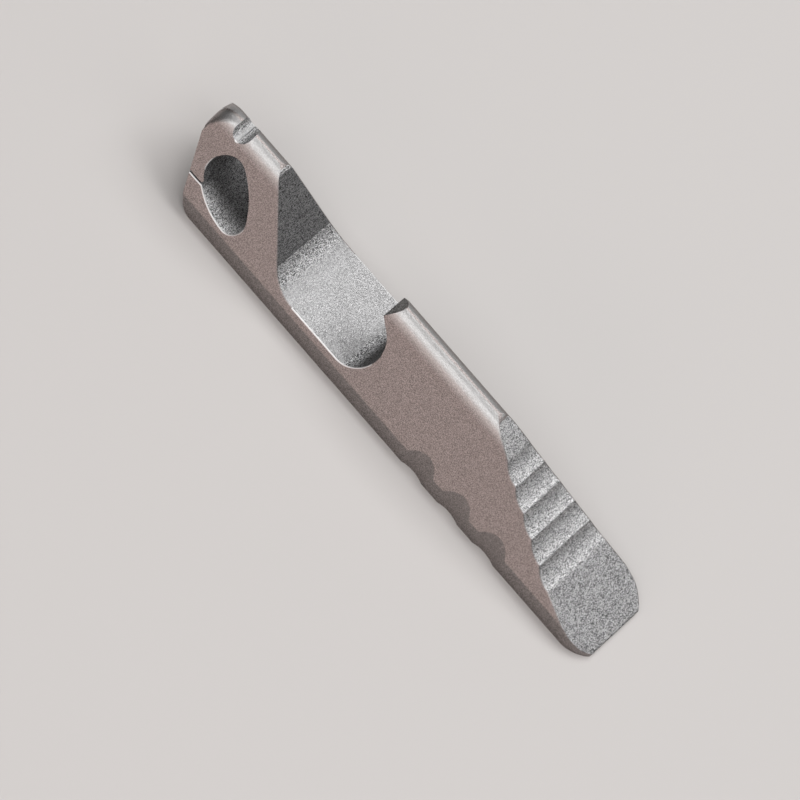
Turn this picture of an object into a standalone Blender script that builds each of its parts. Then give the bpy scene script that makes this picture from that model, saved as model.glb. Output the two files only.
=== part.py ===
"""Keychain bottle opener and pry bar, machined from one bar of titanium.

The frame: +X runs along the bar towards the pry blade, +Z is up from the flat underside, and the origin
is at the middle of the underside. The body is what three straight cuts leave of a bar: a house-shaped
cross-section run along X, the side profile cut straight across Y, and the blade's corners cut straight
down Z. Six finger scallops are then milled into the lower side edges.

All lengths are in metres, and all angles are in degrees until they are used.
"""

import math

import bmesh
import bpy
from mathutils import Vector

MM = 0.001

# The bar.
LENGTH = 80.2 * MM
WIDTH = 13.55 * MM
HEIGHT = 12.9 * MM
WALL_HEIGHT = 2.5 * MM           # the upright side walls, below the sloping flanks
FLANK_ANGLE = 61.0               # the flanks' slope from the underside
CROWN_RADIUS = 2.35 * MM         # the rounding on each side of the ridge

HEAD_X = -LENGTH / 2
TIP_X = LENGTH / 2

# The head: its end slopes back down to the underside.
HEAD_SLOPE = 58.3
HEAD_CORNER_Z = 9.9 * MM         # where the slope would meet the upright end
HEAD_HEEL_RADIUS = 2.5 * MM
HEAD_BROW_RADIUS = 2.4 * MM
HEAD_TOP_RADIUS = 2.3 * MM
HEAD_ROUND_START_Z = 9.2 * MM    # the flank's edge at the head's end is rounded from here up
HEAD_ROUND_LENGTH = 1.9 * MM     # how far along the bar the rounding reaches at the ridge
HEAD_ROUND_WIDTH = 2.6 * MM      # and how far across it

# The ring eye: a large and a small circle, with a bowed roof and a bowed floor between them.
EYE_X = HEAD_X + 6.45 * MM
EYE_Z = 7.64 * MM
EYE_RADIUS = 2.55 * MM
EYE_TOE_X = HEAD_X + 11.13 * MM
EYE_TOE_Z = 4.83 * MM
EYE_TOE_RADIUS = 1.7 * MM
EYE_ROOF_RADIUS = 13.0 * MM
EYE_FLOOR_RADIUS = 11.7 * MM
EYE_NOSE_X = HEAD_X + 5.15 * MM  # the end of the hook above the slit
EYE_NOSE_RADIUS = 0.15 * MM
SLIT_Z = 4.83 * MM
SLIT_GAP = 0.25 * MM

# The small groove across the ridge.
GROOVE_X = HEAD_X + 4.12 * MM
GROOVE_RADIUS = 1.25 * MM
GROOVE_DEPTH = 1.56 * MM

# The cap notch: a ramp, a floor and a hooked tooth.
RAMP_ANGLE = 41.6
RAMP_TOP_X = HEAD_X + 10.3 * MM
RAMP_TOP_RADIUS = 2.45 * MM
NOTCH_FLOOR_Z = 3.33 * MM
NOTCH_HEEL_RADIUS = 7.4 * MM
HOOK_RADIUS = 3.5 * MM
HOOK_X = HEAD_X + 32.1 * MM      # the centre of the round under the tooth
HOOK_UNDERCUT = 31.0             # the slope of the tooth's underside
TOOTH_X = HEAD_X + 32.05 * MM
TOOTH_TOP_X = HEAD_X + 33.2 * MM

# The thumb slope with its scoops, and the pry blade.
SLOPE_TOP_X = HEAD_X + 50.45 * MM
SLOPE_TOP_RADIUS = 4.0 * MM
FIRST_CREST = (HEAD_X + 55.4 * MM, 10.63 * MM)
LAST_CREST = (HEAD_X + 70.65 * MM, 3.97 * MM)
SCOOPS = 5
SCOOP_RADIUS = 4.9 * MM
TIP_THICKNESS = 0.78 * MM
TIP_TOP_RADIUS = 0.3 * MM
TIP_FOOT_RADIUS = 0.12 * MM

# The blade's corners, seen from above: a wide bend and then a tight one into the end edge.
CORNER_LENGTH = 1.8 * MM
TIP_EDGE = 9.4 * MM
CORNER_RADIUS = 5.2 * MM
CORNER_TOE_RADIUS = 0.9 * MM

# The finger scallops.
SCALLOPS = 3
FIRST_SCALLOP_X = HEAD_X + 48.75 * MM
SCALLOP_PITCH = 6.63 * MM
SCALLOP_RADIUS = 4.7 * MM
SCALLOP_DEPTH = 0.37 * MM        # at the underside
SCALLOP_TILT = 6.5               # the cutter leans in towards the top

CLEAR = 2.0 * MM                 # how far a cutting shape stands past the bar
PROUD = 0.04 * MM                # how far outside a face a tangent cut starts
CHORD = 0.35 * MM                # the longest step along a curve
TURN = 7.5                       # the most that one step turns, except where that makes it
SHORT_CHORD = 0.05 * MM          # shorter than this
CROWN_STEPS = 8
FLANK_STEPS = 7
HEAD_STATIONS = 18
HALVINGS = 40
SHARP_ANGLE = 25.0

TITANIUM = (0.28, 0.25, 0.235, 1.0)
TITANIUM_ROUGHNESS = 0.45


def unit(angle):
    """The direction at an angle, in degrees."""
    radians = math.radians(angle)
    return Vector((math.cos(radians), math.sin(radians)))


def arc(centre, radius, start, end):
    """Points on an arc from one angle to another, both ends included."""
    turn = abs(end - start)
    length = math.radians(turn) * radius
    steps = max(2, math.ceil(length / CHORD), math.ceil(min(turn / TURN, length / SHORT_CHORD)))
    centre = Vector(centre)
    return [centre + radius * unit(start + (end - start) * i / steps) for i in range(steps + 1)]


def angle_of(vector):
    return math.degrees(math.atan2(vector.y, vector.x))


def near(angle, reference):
    """The same direction, written within half a turn of the reference."""
    return angle - 360.0 * round((angle - reference) / 360.0)


def round_corner(before, corner, after, radius):
    """The arc of a radius that touches both sides of a corner."""
    before, corner, after = Vector(before), Vector(corner), Vector(after)
    into = (corner - before).normalized()
    out = (after - corner).normalized()
    turn = into.angle_signed(out)
    if radius == 0.0 or abs(turn) < 1e-6:
        return [corner]
    # angle_signed is positive for a clockwise turn, whose centre is on the right.
    side = Vector((into.y, -into.x)) * math.copysign(1.0, turn)
    start = corner - into * radius * math.tan(abs(turn) / 2)
    centre = start + side * radius
    first = angle_of(start - centre)
    return arc(centre, radius, first, first - math.degrees(turn))


def rounded(corners):
    """A run of (x, z, radius) corners with each one rounded. The run's two ends stay sharp."""
    points = [Vector(corners[0][:2])]
    for before, corner, after in zip(corners, corners[1:], corners[2:]):
        points += round_corner(before[:2], corner[:2], after[:2], corner[2])
    points.append(Vector(corners[-1][:2]))
    return points


def head_x(z):
    """Where the head's sloping end is at a height."""
    return HEAD_X + (HEAD_CORNER_Z - z) / math.tan(math.radians(HEAD_SLOPE))


def bow_centre(start, start_radius, end, end_radius, radius):
    """The centre of a wide arc that holds two circles and touches each from outside.

    The arc lies on the left of the way from the first circle to the second.
    """
    apart = end - start
    near_reach = radius - start_radius
    far_reach = radius - end_radius
    cosine = (apart.length ** 2 + near_reach ** 2 - far_reach ** 2) / (2 * apart.length * near_reach)
    return start + near_reach * unit(angle_of(apart) - math.degrees(math.acos(cosine)))


def eye_outline():
    """The slit and the ring eye, from the slit's lower lip round to its upper lip."""
    large, small = Vector((EYE_X, EYE_Z)), Vector((EYE_TOE_X, EYE_TOE_Z))
    upper_lip = SLIT_Z + SLIT_GAP
    lip = Vector((EYE_NOSE_X + SLIT_GAP, SLIT_Z))

    # The floor's bow starts at the slit's lip, and the roof's bow joins the two circles.
    floor = bow_centre(small, EYE_TOE_RADIUS, lip, 0.0, EYE_FLOOR_RADIUS)
    roof = bow_centre(large, EYE_RADIUS, small, EYE_TOE_RADIUS, EYE_ROOF_RADIUS)
    floor_start = near(angle_of(lip - floor), -90.0)
    floor_end = near(angle_of(small - floor), -90.0)
    roof_start = near(angle_of(small - roof), 45.0)
    roof_end = near(angle_of(large - roof), 45.0)

    # The hook's nose is upright below the large circle.
    nose_angle = 180.0 + math.degrees(math.acos((EYE_X - EYE_NOSE_X) / EYE_RADIUS))
    nose_top = large + EYE_RADIUS * unit(nose_angle)
    nose = round_corner(nose_top, (EYE_NOSE_X, upper_lip), (head_x(upper_lip), upper_lip), EYE_NOSE_RADIUS)

    return (
        [Vector((head_x(SLIT_Z), SLIT_Z))]
        + arc(floor, EYE_FLOOR_RADIUS, floor_start, floor_end)
        + arc(small, EYE_TOE_RADIUS, floor_end, roof_start)[1:]
        + arc(roof, EYE_ROOF_RADIUS, roof_start, roof_end)[1:]
        + arc(large, EYE_RADIUS, roof_end, nose_angle)[1:]
        + nose
        + [Vector((head_x(upper_lip), upper_lip))]
    )


def groove_outline():
    """The small round groove across the ridge, from its head side to its blade side."""
    centre = (GROOVE_X, HEIGHT - GROOVE_DEPTH + GROOVE_RADIUS)
    rim = math.degrees(math.asin((GROOVE_DEPTH - GROOVE_RADIUS) / GROOVE_RADIUS))
    return arc(centre, GROOVE_RADIUS, 180.0 - rim, 360.0 + rim)


def hook_outline():
    """The round under the tooth, up to the tooth's point and top."""
    centre = Vector((HOOK_X, NOTCH_FLOOR_Z + HOOK_RADIUS))
    leave = 90.0 - HOOK_UNDERCUT
    bow = arc(centre, HOOK_RADIUS, -90.0, leave)
    rise = (bow[-1].x - TOOTH_X) * math.tan(math.radians(HOOK_UNDERCUT))
    return bow + [Vector((TOOTH_X, bow[-1].y + rise)), Vector((TOOTH_TOP_X, HEIGHT))]


def scoop_outline():
    """The thumb scoops between the first crest and the last."""
    first, last = Vector(FIRST_CREST), Vector(LAST_CREST)
    pitch = (last - first) / SCOOPS
    normal = Vector((-pitch.y, pitch.x)).normalized()
    half = math.degrees(math.asin(pitch.length / 2 / SCOOP_RADIUS))
    lift = SCOOP_RADIUS * math.cos(math.radians(half))
    points = []
    for i in range(SCOOPS):
        centre = first + pitch * (i + 0.5) + normal * lift
        down = angle_of(-normal)
        points += arc(centre, SCOOP_RADIUS, down - half, down + half)[:-1]
    return points + [last]


def profile():
    """The side profile, from the blade's tip along the underside, over the head and back."""
    floor_x = RAMP_TOP_X + (HEIGHT - NOTCH_FLOOR_Z) / math.tan(math.radians(RAMP_ANGLE))
    heel = rounded([
        (0.0, 0.0, 0.0),
        (head_x(0.0), 0.0, HEAD_HEEL_RADIUS),
        (head_x(SLIT_Z), SLIT_Z, 0.0),
    ])[1:-1]
    groove = groove_outline()
    brow = rounded([
        (head_x(SLIT_Z + SLIT_GAP), SLIT_Z + SLIT_GAP, 0.0),
        (HEAD_X, HEAD_CORNER_Z, HEAD_BROW_RADIUS),
        (HEAD_X, HEIGHT, HEAD_TOP_RADIUS),
        (groove[0].x, HEIGHT, 0.0),
    ])[1:-1]
    ramp = rounded([
        (groove[-1].x, HEIGHT, 0.0),
        (RAMP_TOP_X, HEIGHT, RAMP_TOP_RADIUS),
        (floor_x, NOTCH_FLOOR_Z, NOTCH_HEEL_RADIUS),
        (HOOK_X, NOTCH_FLOOR_Z, 0.0),
    ])[1:-1]
    slope = rounded([
        (TOOTH_TOP_X, HEIGHT, 0.0),
        (SLOPE_TOP_X, HEIGHT, SLOPE_TOP_RADIUS),
        (*FIRST_CREST, 0.0),
    ])[1:-1]
    tip = rounded([
        (*LAST_CREST, 0.0),
        (TIP_X, TIP_THICKNESS, TIP_TOP_RADIUS),
        (TIP_X, 0.0, TIP_FOOT_RADIUS),
        (0.0, 0.0, 0.0),
    ])[1:-1]
    return heel + eye_outline() + brow + groove + ramp + hook_outline() + slope + scoop_outline() + tip


def crown_circle():
    """The centre of the right-hand crown arc, which touches the flank and ends at the ridge's top."""
    outward = unit(90.0 - FLANK_ANGLE)
    down_flank = unit(-FLANK_ANGLE)
    ridge = Vector((0.0, HEIGHT))
    gap = outward.dot(Vector((WIDTH / 2, WALL_HEIGHT)) - ridge)
    slide = math.sqrt(2 * gap * CROWN_RADIUS - gap ** 2)
    return ridge + (gap - CROWN_RADIUS) * outward + slide * down_flank


CROWN_CENTRE = crown_circle()
CROWN_START_Z = CROWN_CENTRE.y + CROWN_RADIUS * math.cos(math.radians(FLANK_ANGLE))


def half_width(z):
    """Half the bar's width at a height: the side wall, then the flank, then the crown."""
    if z <= WALL_HEIGHT:
        return WIDTH / 2
    if z <= CROWN_START_Z:
        return WIDTH / 2 - (z - WALL_HEIGHT) / math.tan(math.radians(FLANK_ANGLE))
    return CROWN_CENTRE.x + math.sqrt(max(CROWN_RADIUS ** 2 - (z - CROWN_CENTRE.y) ** 2, 0.0))


def head_end_x(z):
    """Where the head ends at a height, with its rounded top corner."""
    over = z - (HEIGHT - HEAD_TOP_RADIUS)
    if over > 0.0:
        return HEAD_X + HEAD_TOP_RADIUS - math.sqrt(max(HEAD_TOP_RADIUS ** 2 - over ** 2, 0.0))
    return max(HEAD_X, head_x(z))


def head_inset(x, z):
    """How far the flank's edge is rounded in at the head's end. It grows from nothing up to the ridge."""
    grown = max(0.0, (z - HEAD_ROUND_START_Z) / (HEIGHT - HEAD_ROUND_START_Z))
    length = HEAD_ROUND_LENGTH * grown
    width = HEAD_ROUND_WIDTH * math.sqrt(grown)
    reach = min(length, length - (x - head_end_x(z)))
    if reach <= 0.0:
        return 0.0
    return width * (1.0 - math.sqrt(1.0 - (reach / length) ** 2))


def ridge_height(x):
    """The ridge's height at a station, which dips where the head's end is rounded."""
    low, high = HEAD_ROUND_START_Z, HEIGHT
    if half_width(high) >= head_inset(x, high):
        return high
    for _ in range(HALVINGS):
        middle = (low + high) / 2
        if half_width(middle) > head_inset(x, middle):
            low = middle
        else:
            high = middle
    return low


def section(x):
    """The house-shaped cross-section at a station, as (y, z) points from the right foot over the ridge."""
    foot = HEAD_ROUND_START_Z
    heights = [foot + (CROWN_START_Z - foot) * i / FLANK_STEPS for i in range(FLANK_STEPS)]
    # The crown's heights follow its arc, so that its facets turn by equal steps.
    crown_start = 90.0 - FLANK_ANGLE
    crown_end = angle_of(Vector((0.0, HEIGHT)) - CROWN_CENTRE)
    for i in range(CROWN_STEPS):
        angle = math.radians(crown_start + (crown_end - crown_start) * i / CROWN_STEPS)
        heights.append(CROWN_CENTRE.y + CROWN_RADIUS * math.sin(angle))
    # Where the ridge dips, they close up under it.
    top = ridge_height(x)
    closing = (top - foot) / (HEIGHT - foot)
    heights = [0.0, WALL_HEIGHT] + [foot + (z - foot) * closing for z in heights]
    right = [Vector((half_width(z) - head_inset(x, z), z)) for z in heights]
    left = [Vector((-point.x, point.y)) for point in reversed(right)]
    return right + [Vector((0.0, top))] + left


def loft(shape, rings):
    """A closed solid through rings of the same number of points."""
    loops = [[shape.verts.new(point) for point in ring] for ring in rings]
    count = len(loops[0])
    for near_loop, far_loop in zip(loops, loops[1:]):
        for i in range(count):
            j = (i + 1) % count
            shape.faces.new((near_loop[i], near_loop[j], far_loop[j], far_loop[i]))
    shape.faces.new(loops[0])
    shape.faces.new(list(reversed(loops[-1])))


def solid(name, rings):
    """An object that holds one lofted solid."""
    mesh = bpy.data.meshes.new(name)
    shape = bmesh.new()
    loft(shape, rings)
    bmesh.ops.recalc_face_normals(shape, faces=shape.faces)
    shape.to_mesh(mesh)
    shape.free()
    made = bpy.data.objects.new(name, mesh)
    bpy.context.scene.collection.objects.link(made)
    return made


def cutter(name, rings):
    """A solid that only cuts."""
    made = solid(name, rings)
    made.hide_render = True
    made.display_type = "WIRE"
    return made


def cut(target, tool, operation):
    """Cut the target with a tool, and keep the modifier on it."""
    modifier = target.modifiers.new(tool.name, "BOOLEAN")
    modifier.operation = operation
    modifier.solver = "EXACT"
    modifier.object = tool


def profile_cutter():
    """The side profile, wider than the bar."""
    reach = WIDTH / 2 + CLEAR
    outline = profile()
    return cutter("profile_cut", [[(point.x, y, point.y) for point in outline] for y in (-reach, reach)])


def blade_corner_cutter(side):
    """What the blade loses at one corner, as seen from above. It starts just outside the bar's faces."""
    side_y = WIDTH / 2 + PROUD
    end_x = TIP_X + PROUD
    edge = rounded([
        (0.0, side_y, 0.0),
        (TIP_X - CORNER_LENGTH, side_y, CORNER_RADIUS),
        (end_x, TIP_EDGE / 2, CORNER_TOE_RADIUS),
        (end_x, 0.0, 0.0),
    ])[1:-1]
    far = WIDTH / 2 + CLEAR
    outline = [Vector((edge[0].x, far))] + edge
    outline += [Vector((TIP_X + CLEAR, edge[-1].y)), Vector((TIP_X + CLEAR, far))]
    rings = [[(point.x, side * point.y, z) for point in outline] for z in (-CLEAR, HEIGHT)]
    return cutter("blade_corner_cut_%s" % ("left" if side > 0 else "right"), rings)


def scallop_cutter(x, side, name):
    """A round cutter that leans in over the side edge."""
    rings = []
    for z in (-CLEAR, HEIGHT / 2):
        inner_y = WIDTH / 2 - SCALLOP_DEPTH - z * math.tan(math.radians(SCALLOP_TILT))
        circle = arc((x, inner_y + SCALLOP_RADIUS), SCALLOP_RADIUS, -90.0, 270.0)[:-1]
        rings.append([(point.x, side * point.y, z) for point in circle])
    return cutter(name, rings)


def titanium():
    """Bare titanium with a fine blasted finish."""
    material = bpy.data.materials.new("titanium")
    material.use_nodes = True
    shader = material.node_tree.nodes["Principled BSDF"]
    shader.inputs["Base Color"].default_value = TITANIUM
    shader.inputs["Metallic"].default_value = 1.0
    shader.inputs["Roughness"].default_value = TITANIUM_ROUGHNESS
    material.diffuse_color = TITANIUM
    return material


def body_stations():
    """Where the cross-section is drawn: close together round the head's end, and at the far end."""
    reach = HEAD_TOP_RADIUS + HEAD_ROUND_LENGTH
    round_up = [HEAD_X + reach * i / HEAD_STATIONS for i in range(HEAD_STATIONS + 1)]
    return [HEAD_X - CLEAR] + round_up + [TIP_X + CLEAR]


def opener_body():
    """The whole opener: the drawn bar, cut to its side profile, its blade corners and its scallops."""
    rings = [[(x, point.x, point.y) for point in section(x)] for x in body_stations()]
    body = solid("opener_body", rings)
    cut(body, profile_cutter(), "INTERSECT")
    for side in (1, -1):
        cut(body, blade_corner_cutter(side), "DIFFERENCE")
        for number in range(SCALLOPS):
            name = "scallop_cut_%s_%d" % ("left" if side > 0 else "right", number + 1)
            cut(body, scallop_cutter(FIRST_SCALLOP_X + number * SCALLOP_PITCH, side, name), "DIFFERENCE")
    body.data.materials.append(titanium())
    body.data.shade_smooth()
    body.data.set_sharp_from_angle(angle=math.radians(SHARP_ANGLE))
    return body


def main():
    for old in list(bpy.data.objects):
        bpy.data.objects.remove(old)
    opener_body()


main()
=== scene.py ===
"""The looks of the keychain bottle opener: bead-blasted titanium with coarse wire-cut faces.

The bar's own mesh comes from the frame. Here its rims are broken as deburring leaves them, each face gets
the finish of the cut that made it, and a soft studio stands round it.
"""

import math

import bmesh
import bpy
from mathutils import Matrix, Vector
from mathutils.bvhtree import BVHTree


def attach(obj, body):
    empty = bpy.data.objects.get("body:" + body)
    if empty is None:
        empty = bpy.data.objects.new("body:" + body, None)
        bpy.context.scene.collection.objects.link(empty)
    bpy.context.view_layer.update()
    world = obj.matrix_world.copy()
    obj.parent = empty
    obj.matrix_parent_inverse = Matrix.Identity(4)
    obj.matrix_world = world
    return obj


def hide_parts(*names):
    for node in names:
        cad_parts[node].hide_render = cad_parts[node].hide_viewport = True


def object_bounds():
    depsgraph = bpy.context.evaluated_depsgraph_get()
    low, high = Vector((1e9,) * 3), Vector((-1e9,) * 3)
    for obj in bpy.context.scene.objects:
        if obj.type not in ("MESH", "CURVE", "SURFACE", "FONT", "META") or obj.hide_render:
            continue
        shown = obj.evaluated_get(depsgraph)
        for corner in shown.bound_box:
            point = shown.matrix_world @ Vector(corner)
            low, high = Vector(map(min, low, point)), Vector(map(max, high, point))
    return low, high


MM = 0.001

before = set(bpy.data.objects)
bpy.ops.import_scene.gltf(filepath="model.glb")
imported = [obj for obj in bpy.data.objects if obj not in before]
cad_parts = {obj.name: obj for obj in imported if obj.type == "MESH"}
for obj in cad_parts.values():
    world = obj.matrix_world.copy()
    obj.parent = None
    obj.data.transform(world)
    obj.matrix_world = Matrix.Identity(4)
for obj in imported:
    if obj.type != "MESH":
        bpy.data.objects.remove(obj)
cad_low, cad_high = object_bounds()

BODY = "opener_body"

# The camera: the way the picture looks at the bar, and where the aim point lies in the picture.
VIEW_ELEVATION = 54.46
VIEW_ROLL = 48.85
VIEW_DISTANCE = 900 * MM
LENS = 330.0
SENSOR = 36.0
CLIP_NEAR = 10 * MM
CLIP_FAR = 10.0
AIM = Vector((0.0, 0.0, 5 * MM))
AIM_ACROSS = 0.0203              # as shares of the picture's width, from its centre
AIM_UP = 0.0315

# The broken rims.
WELD = 0.001 * MM
FLAT_ANGLE = 0.2                 # faces that turn less than this lie in one plane
RIM_ANGLE = 26.0                 # a sharper edge than this is broken
RIM_WIDTH = 0.12 * MM
RIM_STEPS = 3
RIM_PROFILE = 0.5                # round
NEIGHBOUR_MATERIAL = -1          # a bevel first takes the material beside it
CROWD = 0.8 * MM                 # a rim this close to a place where its bevel would fold stays sharp
FOLDED = 0.2                     # a folded face's normal has less than this along the bar's own
SMALL = 0.05 * MM * MM           # and it is smaller than this
ATTEMPTS = 4
SHARP_ANGLE = 15.0
OVERHANG_Z = -0.3                # an overhanging face's normal points down more than this,
OVERHANG_FROM = 2.6 * MM         # above this height

# Which finish a face has.
BLASTED, CUT, RIM, EYE = range(4)
ACROSS = 0.02                    # a face cut straight across the bar leans less than this to the sides,
SIDEWAYS = 0.86                  # and a flank or a wall leans more than this
UNDERSIDE_Z = -0.99              # the underside's normal points down more than this
RIDGE_Z = 0.9                    # and the ridge's points up more than this,
RIDGE_BAND = 0.5 * MM            # this near the bar's top
EYE_REACH = (3.6 * MM, 13.5 * MM)       # where the eye and its slit lie, from just inside the head's end
EYE_HEIGHT = (2.6 * MM, 10.8 * MM)
HEAD_REACH = 7.0 * MM            # the slit and the groove lie this near the head's end
EYE_RIM_Z = 9.4 * MM             # the eye's rim with the painted highlight lies below this
NOTCH_X = (-15.0 * MM, -2.0 * MM)       # where the notch's rims with the painted highlight lie,
NOTCH_RIM_Z = 6.0 * MM                  # and below this


def in_eye(place):
    """Whether a point of a cut face lies in the eye, or in its slit."""
    reach = place.x - cad_low.x
    return EYE_REACH[0] < reach < EYE_REACH[1] and EYE_HEIGHT[0] < place.z < EYE_HEIGHT[1]


def finish_of(face):
    """The cut that made a face of the bar, told from the way it faces."""
    middle = face.calc_center_median()
    underside = face.normal.z < UNDERSIDE_Z
    ridge = face.normal.z > RIDGE_Z and middle.z > cad_high.z - RIDGE_BAND
    if abs(face.normal.y) < ACROSS and not underside and not ridge:
        return EYE if in_eye(middle) else CUT
    return BLASTED


def is_rim(edge):
    """Whether an edge is broken: a sharp one that isn't an overhanging face's, nor inside the eye."""
    if edge.calc_face_angle() < math.radians(RIM_ANGLE):
        return False
    faces = edge.link_faces
    middle = (edge.verts[0].co + edge.verts[1].co) / 2
    overhang = middle.z > OVERHANG_FROM and any(face.normal.z < OVERHANG_Z for face in faces)
    inside = in_eye(middle) and all(abs(face.normal.y) < ACROSS for face in faces)
    return not (overhang or inside)


def gets_rim_highlight(place):
    """Whether a point lies on a rim that gets the painted highlight: the slit's, groove's, eye's or notch's.
    """
    reach = place.x - cad_low.x
    slit_or_groove = reach < HEAD_REACH
    eye = reach < EYE_REACH[1] and place.z < EYE_RIM_Z
    notch = NOTCH_X[0] < place.x < NOTCH_X[1] and place.z < NOTCH_RIM_Z
    return slit_or_groove or eye or notch


def rim_finish_of(face):
    """A rim at the slit, groove, eye or notch that faces up gets the painted highlight, and any other has
    the finish of the faces beside it.
    """
    if abs(face.normal.y) < ACROSS:
        return finish_of(face)
    if abs(face.normal.y) > SIDEWAYS or face.normal.z < 0.0:
        return BLASTED
    return RIM if gets_rim_highlight(face.calc_center_median()) else BLASTED


def clean_shape():
    """The bar's own mesh, with each flat face whole."""
    shape = bmesh.new()
    shape.from_mesh(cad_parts[BODY].data)
    bmesh.ops.remove_doubles(shape, verts=shape.verts, dist=WELD)
    bmesh.ops.dissolve_limit(
        shape,
        angle_limit=math.radians(FLAT_ANGLE),
        verts=shape.verts,
        edges=shape.edges,
    )
    shape.normal_update()
    for face in shape.faces:
        face.material_index = finish_of(face)
    return shape


def is_close(edge, point):
    """Whether an edge passes a crowded point too closely to be broken."""
    first, second = edge.verts[0].co, edge.verts[1].co
    along = second - first
    share = min(max((point - first).dot(along) / along.length_squared, 0.0), 1.0)
    return (first + along * share - point).length < CROWD


def break_rims(shape, crowded):
    """Break the rims that pass none of the crowded points, and return the points where that folds a face."""
    whole = BVHTree.FromBMesh(shape)
    rims = [edge for edge in shape.edges if is_rim(edge)]
    roomy = [edge for edge in rims if not any(is_close(edge, point) for point in crowded)]
    broken = bmesh.ops.bevel(
        shape,
        geom=roomy,
        offset=RIM_WIDTH,
        offset_type="OFFSET",
        segments=RIM_STEPS,
        profile=RIM_PROFILE,
        affect="EDGES",
        clamp_overlap=False,
        material=NEIGHBOUR_MATERIAL,
        miter_outer="ARC",
    )
    shape.normal_update()
    for face in broken["faces"]:
        face.material_index = rim_finish_of(face)
    folded = []
    for face in shape.faces:
        middle = face.calc_center_median()
        if face.calc_area() < SMALL and whole.find_nearest(middle)[1].dot(face.normal) < FOLDED:
            folded.append(middle)
    return folded


def metal_mesh():
    """The bar as one clean mesh, with its sharp rims broken wherever there is room for it."""
    crowded = []
    for _ in range(ATTEMPTS):
        shape = clean_shape()
        folded = break_rims(shape, crowded)
        if not folded:
            break
        crowded += folded
    for face in shape.faces:
        face.smooth = True
    mesh = bpy.data.meshes.new("opener_metal")
    shape.to_mesh(mesh)
    shape.free()
    mesh.set_sharp_from_angle(angle=math.radians(SHARP_ANGLE))
    return mesh


def opener_metal():
    """The piece that stands for the bar. Its materials come in the order of the finishes."""
    piece = bpy.data.objects.new("opener_metal", metal_mesh())
    bpy.context.scene.collection.objects.link(piece)
    for material in (blasted(), wire_cut(), rim(), eye_wall()):
        piece.data.materials.append(material)
    even = piece.modifiers.new("even_shading", "WEIGHTED_NORMAL")
    even.keep_sharp = True
    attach(piece, "root")
    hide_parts(BODY)


# A colour mix's sockets, which share their names with the mix's other kinds.
MIX_SHARE, MIX_FIRST, MIX_SECOND = 0, 6, 7
MIX_COLOUR = 2
EVEN = (1.0, 1.0, 1.0)


class Finish:
    """A metal material, and the nodes that vary it."""

    def __init__(self, name, metallic=1.0):
        self.material = bpy.data.materials.new(name)
        self.material.use_nodes = True
        self.tree = self.material.node_tree
        self.shader = self.tree.nodes["Principled BSDF"]
        self.shader.inputs["Metallic"].default_value = metallic
        coordinates = self.node("TexCoord")
        self.place = coordinates.outputs["Object"]
        self.normal = coordinates.outputs["Normal"]

    def node(self, kind):
        return self.tree.nodes.new("ShaderNode" + kind)

    def link(self, output, socket):
        self.tree.links.new(output, socket)

    def vary(self, name, output):
        """Let a node's output set one of the shader's inputs."""
        self.link(output, self.shader.inputs[name])

    def in_grains(self, size, stretch):
        """The place counted in grains of a size, which the stretch draws out along the axes."""
        node = self.node("VectorMath")
        node.operation = "MULTIPLY"
        node.inputs[1].default_value = [1.0 / (size * along) for along in stretch]
        self.link(self.place, node.inputs[0])
        return node.outputs[0]

    def noise(self, size, detail, roughness=0.5, stretch=EVEN):
        """Soft noise around 0.5."""
        node = self.node("TexNoise")
        node.inputs["Scale"].default_value = 1.0
        node.inputs["Detail"].default_value = detail
        node.inputs["Roughness"].default_value = roughness
        self.link(self.in_grains(size, stretch), node.inputs["Vector"])
        return node.outputs[0]

    def facets(self, size, stretch):
        """Small facets, each with a value of its own from 0 to 1."""
        node = self.node("TexVoronoi")
        node.inputs["Scale"].default_value = 1.0
        self.link(self.in_grains(size, stretch), node.inputs["Vector"])
        return self.part(node.outputs["Color"], "X")

    def part(self, vector, axis):
        """One coordinate of a vector."""
        node = self.node("SeparateXYZ")
        self.link(vector, node.inputs[0])
        return node.outputs[axis]

    def spread(self, value, span, onto=(0.0, 1.0), kind="LINEAR"):
        """Map a value's span onto another, and hold it at the ends."""
        node = self.node("MapRange")
        node.interpolation_type = kind
        for name, number in zip(("From Min", "From Max", "To Min", "To Max"), (*span, *onto)):
            node.inputs[name].default_value = number
        self.link(value, node.inputs["Value"])
        return node.outputs[0]

    def step(self, vector, axis, span):
        """0 to 1, softly, as one coordinate of a vector goes through a span."""
        return self.spread(self.part(vector, axis), span, kind="SMOOTHSTEP")

    def work_out(self, operation, *values):
        """A value from others, each an output or a plain number."""
        node = self.node("Math")
        node.operation = operation
        for value, socket in zip(values, node.inputs):
            if isinstance(value, float):
                socket.default_value = value
            else:
                self.link(value, socket)
        return node.outputs[0]

    def both(self, first, second):
        return self.work_out("MULTIPLY", first, second)

    def either(self, first, second):
        return self.work_out("MAXIMUM", first, second)

    def add(self, value, share, other):
        """A value and a share of another."""
        return self.work_out("MULTIPLY_ADD", other, share, value)

    def mix(self, share, first, second):
        """The first colour, going over to the second as the share rises to 1. Each is an output or plain."""
        node = self.node("Mix")
        node.data_type = "RGBA"
        self.link(share, node.inputs[MIX_SHARE])
        for colour, socket in ((first, node.inputs[MIX_FIRST]), (second, node.inputs[MIX_SECOND])):
            if isinstance(colour, tuple):
                socket.default_value = (*colour, 1.0)
            else:
                self.link(colour, socket)
        return node.outputs[MIX_COLOUR]

    def bump(self, height, depth):
        node = self.node("Bump")
        node.inputs["Distance"].default_value = depth
        self.link(height, node.inputs["Height"])
        self.vary("Normal", node.outputs[0])


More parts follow.
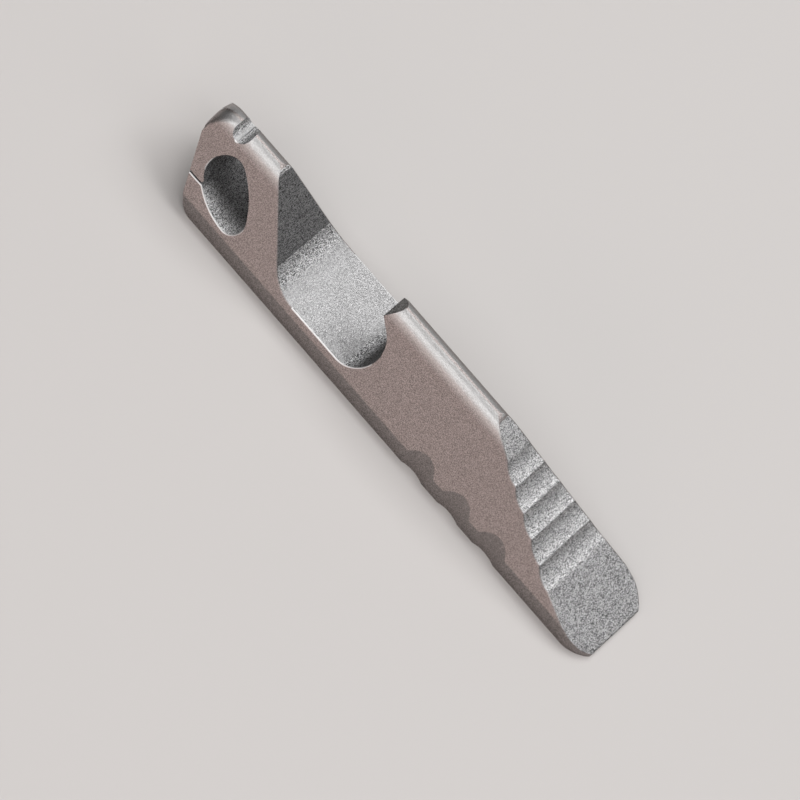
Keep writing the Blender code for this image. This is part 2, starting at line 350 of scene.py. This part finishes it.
# The blasted metal: its darkest and lightest tones, and its grain.
BLASTED_TONES = ((0.170, 0.152, 0.147), (0.385, 0.346, 0.334))
BLASTED_SPAN = (0.33, 0.67)      # the noise between the darkest tone and the lightest
BLASTED_SIZE = 0.12 * MM
BLASTED_DEPTH = 0.03 * MM
BLASTED_ROUGHNESS = (0.42, 0.34)
ROUGH_SPAN = (0.3, 0.7)          # the noise between the roughest metal and the smoothest
NOISE_ROUGHNESS = 0.6            # how strong the noise's finer parts are

# Where a painted highlight lies on the ridge.
RIDGE_HIGHLIGHT_TONES = ((0.40, 0.39, 0.385), (0.56, 0.55, 0.545))
RIDGE_HIGHLIGHT_Z = (10.9 * MM, 12.3 * MM)
NEAR_Y = (-0.15, -0.32)          # the painted highlight lies on the ridge's near slope,
CREST_Y = (0.05, 0.20)           # and on the far edge of its crest,
REAR_Y = (0.60, 0.35)            # down to where its far slope begins

# The wire's grain: facets drawn out a little across the bar, with long streaks between them.
FACET = 0.072 * MM
FACET_STRETCH = (1.0, 1.6, 1.0)
STREAK_STRETCH = (1.0, 12.0, 1.0)
SWELL_STRETCH = (1.0, 2.0, 1.0)
STREAK_LEVEL = 0.6               # the streaks' share in the level
STREAK_HEIGHT = 0.35             # and in the height
WIRE_SPAN = (0.46, 1.14)         # from the darkest facets to the lightest
WIRE_DEPTH = 0.058 * MM
WIRE_ROUGHNESS = (0.46, 0.36)
WHOLE = (0.0, 1.0)

# The tones of each cut. A later one takes the place of those before it.
LEVEL_TONES = ((0.31, 0.307, 0.308), (0.46, 0.456, 0.458))
COARSE_TONES = ((0.04, 0.039, 0.04), (0.86, 0.855, 0.857))
SCOOP_TONES = ((0.12, 0.119, 0.12), (0.70, 0.695, 0.697))
BLADE_TONES = ((0.09, 0.089, 0.09), (0.59, 0.585, 0.588))
# painted shade on the hook's steep faces
HOOK_SHADE_TONES = ((0.04, 0.039, 0.038), (0.30, 0.295, 0.29))
COARSE_Z = (0.985, 0.90)         # a cut is coarse where its normal leans from upright
SCOOP_X = (8.0 * MM, 9.0 * MM)   # the thumb slope starts here,
BLADE_X = (30.6 * MM, 31.0 * MM)         # and the blade here
HOOK_START_X = (-14.0 * MM, -12.0 * MM)  # the hook's steep faces get painted shade
HOOK_END_X = (-2.0 * MM, -3.0 * MM)
STEEP_X = (-0.60, -0.84)

# The eye's wall: painted shade deep inside, painted light towards the mouths.
EYE_SHADE_TONES = ((0.02, 0.02, 0.02), (0.24, 0.238, 0.24))
EYE_LIGHT_TONES = ((0.12, 0.118, 0.12), (0.95, 0.945, 0.95))
EYE_METALLIC = 0.55
EYE_ROUGHNESS = (0.65, 0.5)
EYE_LIGHT_Y = (2.4 * MM, 5.6 * MM)       # painted light on the eye's wall towards its mouths,
EYE_SHADE_X = (0.65, 0.35)               # with painted shade on the wall at the head's end instead,
SLIT_END = (5.2 * MM, 6.0 * MM)         # and in the slit, which ends this far from the head's end

# The broken rims, with a painted highlight as their colour.
RIM_HIGHLIGHT_COLOUR = (0.72, 0.715, 0.71)
RIM_GRAIN = 0.2 * MM
RIM_DEPTH = 0.01 * MM
RIM_ROUGHNESS = (0.6, 0.48)


def blasted():
    """Fine bead-blasted titanium, a warm grey, with a painted highlight on the near shoulder of the ridge
    and the far edge of its crest.
    """
    finish = Finish("blasted_titanium")
    grain = finish.noise(BLASTED_SIZE, 1.0, NOISE_ROUGHNESS)
    level = finish.spread(grain, BLASTED_SPAN)
    height = finish.step(finish.place, "Z", RIDGE_HIGHLIGHT_Z)
    # painted highlight on the ridge, placed by height and by which way its faces turn
    near = finish.step(finish.normal, "Y", NEAR_Y)
    crest = finish.both(finish.step(finish.normal, "Y", CREST_Y), finish.step(finish.normal, "Y", REAR_Y))
    highlight_share = finish.both(height, finish.either(near, crest))
    plain = finish.mix(level, *BLASTED_TONES)
    highlight_colour = finish.mix(level, *RIDGE_HIGHLIGHT_TONES)
    finish.vary("Base Color", finish.mix(highlight_share, plain, highlight_colour))
    finish.vary("Roughness", finish.spread(grain, ROUGH_SPAN, BLASTED_ROUGHNESS))
    finish.bump(grain, BLASTED_DEPTH)
    return finish.material


def wire_grain(finish, roughness):
    """Give a finish the wire's height and roughness, and return its level from 0 to 1."""
    facets = finish.facets(FACET, FACET_STRETCH)
    streaks = finish.noise(FACET, 0.0, stretch=STREAK_STRETCH)
    swell = finish.noise(FACET, 1.0, stretch=SWELL_STRETCH)
    finish.bump(finish.add(swell, STREAK_HEIGHT, streaks), WIRE_DEPTH)
    level = finish.spread(finish.add(facets, STREAK_LEVEL, streaks), WIRE_SPAN)
    finish.vary("Roughness", finish.spread(level, WHOLE, roughness))
    return level


def wire_cut():
    """Coarse, sparkling wire-cut titanium, with fine streaks across the bar, and painted shade on the hook's
    steep faces.
    """
    finish = Finish("wire_cut_titanium")
    level = wire_grain(finish, WIRE_ROUGHNESS)
    hook = finish.both(
        finish.step(finish.place, "X", HOOK_END_X),
        finish.step(finish.place, "X", HOOK_START_X),
    )
    cuts = (
        (finish.step(finish.normal, "Z", COARSE_Z), COARSE_TONES),
        (finish.step(finish.place, "X", SCOOP_X), SCOOP_TONES),
        (finish.step(finish.place, "X", BLADE_X), BLADE_TONES),
        (finish.both(hook, finish.step(finish.normal, "X", STEEP_X)), HOOK_SHADE_TONES),
    )
    colour = finish.mix(level, *LEVEL_TONES)
    for share, tones in cuts:
        colour = finish.mix(share, colour, finish.mix(level, *tones))
    finish.vary("Base Color", colour)
    return finish.material


def eye_wall():
    """The eye's wall, wire-cut too: painted shade deep inside, and painted light towards the mouths."""
    finish = Finish("eye_wall", metallic=EYE_METALLIC)
    level = wire_grain(finish, EYE_ROUGHNESS)
    # painted light towards the mouths, held off the wall at the head's end and the slit, which keep the
    # painted shade
    near = finish.step(finish.place, "Y", [-depth for depth in EYE_LIGHT_Y])
    far = finish.step(finish.place, "Y", EYE_LIGHT_Y)
    lit_share = finish.both(finish.either(near, far), finish.step(finish.normal, "X", EYE_SHADE_X))
    lit_share = finish.both(lit_share, finish.step(finish.place, "X", [cad_low.x + reach for reach in SLIT_END]))
    shaded_colour = finish.mix(level, *EYE_SHADE_TONES)
    finish.vary("Base Color", finish.mix(lit_share, shaded_colour, finish.mix(level, *EYE_LIGHT_TONES)))
    return finish.material


def rim():
    """A broken rim's metal, with a painted highlight for its colour."""
    finish = Finish("broken_rim")
    # painted highlight: the rim's bright colour
    finish.shader.inputs["Base Color"].default_value = (*RIM_HIGHLIGHT_COLOUR, 1.0)
    grain = finish.noise(RIM_GRAIN, 3.0, NOISE_ROUGHNESS)
    finish.vary("Roughness", finish.spread(grain, ROUGH_SPAN, RIM_ROUGHNESS))
    finish.bump(grain, RIM_DEPTH)
    return finish.material


def camera():
    data = bpy.data.cameras.new("camera")
    data.lens = LENS
    data.sensor_width = SENSOR
    data.clip_start = CLIP_NEAR
    data.clip_end = CLIP_FAR
    data.shift_x = -AIM_ACROSS
    data.shift_y = -AIM_UP
    made = bpy.data.objects.new("camera", data)
    bpy.context.scene.collection.objects.link(made)
    elevation = math.radians(VIEW_ELEVATION)
    back = Vector((0.0, -math.cos(elevation), math.sin(elevation)))
    made.location = AIM + back * VIEW_DISTANCE
    turn = back.to_track_quat("Z", "Y").to_matrix()
    made.rotation_euler = (turn @ Matrix.Rotation(math.radians(VIEW_ROLL), 3, "Z")).to_euler()
    bpy.context.scene.camera = made


FLOOR_REACH = 3.0
FLOOR_COLOUR = (0.60, 0.575, 0.56)
FLOOR_ROUGHNESS = 0.75


def floor():
    mesh = bpy.data.meshes.new("floor")
    corners = [(-1, -1), (1, -1), (1, 1), (-1, 1)]
    mesh.from_pydata([(x * FLOOR_REACH, y * FLOOR_REACH, 0.0) for x, y in corners], [], [(0, 1, 2, 3)])
    made = bpy.data.objects.new("floor", mesh)
    bpy.context.scene.collection.objects.link(made)
    material = bpy.data.materials.new("floor")
    material.use_nodes = True
    shader = material.node_tree.nodes["Principled BSDF"]
    shader.inputs["Base Color"].default_value = (*FLOOR_COLOUR, 1.0)
    shader.inputs["Roughness"].default_value = FLOOR_ROUGHNESS
    mesh.materials.append(material)


# The studio's soft panels: each one's side and elevation in degrees, its size, its radiance and its colour.
# Side 0 is the camera's side, and 90 the blade's.
WHITE = (1.0, 1.0, 1.0)
WARM = (1.0, 0.81, 0.76)
PANEL_DISTANCE = 0.6
PANELS = {
    "back_light": (180, 63, (0.7, 0.4), 3.05, WHITE),
    "front_light": (0, 54, (0.7, 0.42), 1.95, WHITE),
    "low_light": (0, 14, (0.7, 0.2), 1.7, WARM),
    "rear_light": (180, 12, (0.7, 0.16), 0.4, WHITE),
    "blade_light": (90, 45, (0.5, 0.5), 0.65, WHITE),
}
SKY_COLOUR = (0.9, 0.9, 0.92)
SKY_STRENGTH = 0.13


def panel(name, side, elevation, size, radiance, colour):
    """A soft square light that faces the bar."""
    data = bpy.data.lights.new(name, "AREA")
    data.shape = "RECTANGLE"
    data.size, data.size_y = size
    data.energy = radiance * math.pi * size[0] * size[1]
    data.color = colour
    made = bpy.data.objects.new(name, data)
    bpy.context.scene.collection.objects.link(made)
    turn, rise = math.radians(side), math.radians(elevation)
    away = Vector((math.sin(turn) * math.cos(rise), -math.cos(turn) * math.cos(rise), math.sin(rise)))
    made.location = away * PANEL_DISTANCE
    made.rotation_euler = away.to_track_quat("Z", "Y").to_euler()
    made.visible_camera = False


def studio():
    for name, values in PANELS.items():
        panel(name, *values)
    world = bpy.data.worlds.new("studio")
    world.use_nodes = True
    background = world.node_tree.nodes["Background"]
    background.inputs["Color"].default_value = (*SKY_COLOUR, 1.0)
    background.inputs["Strength"].default_value = SKY_STRENGTH
    bpy.context.scene.world = world
    bpy.context.scene.view_settings.view_transform = "Standard"


camera()
floor()
studio()
opener_metal()
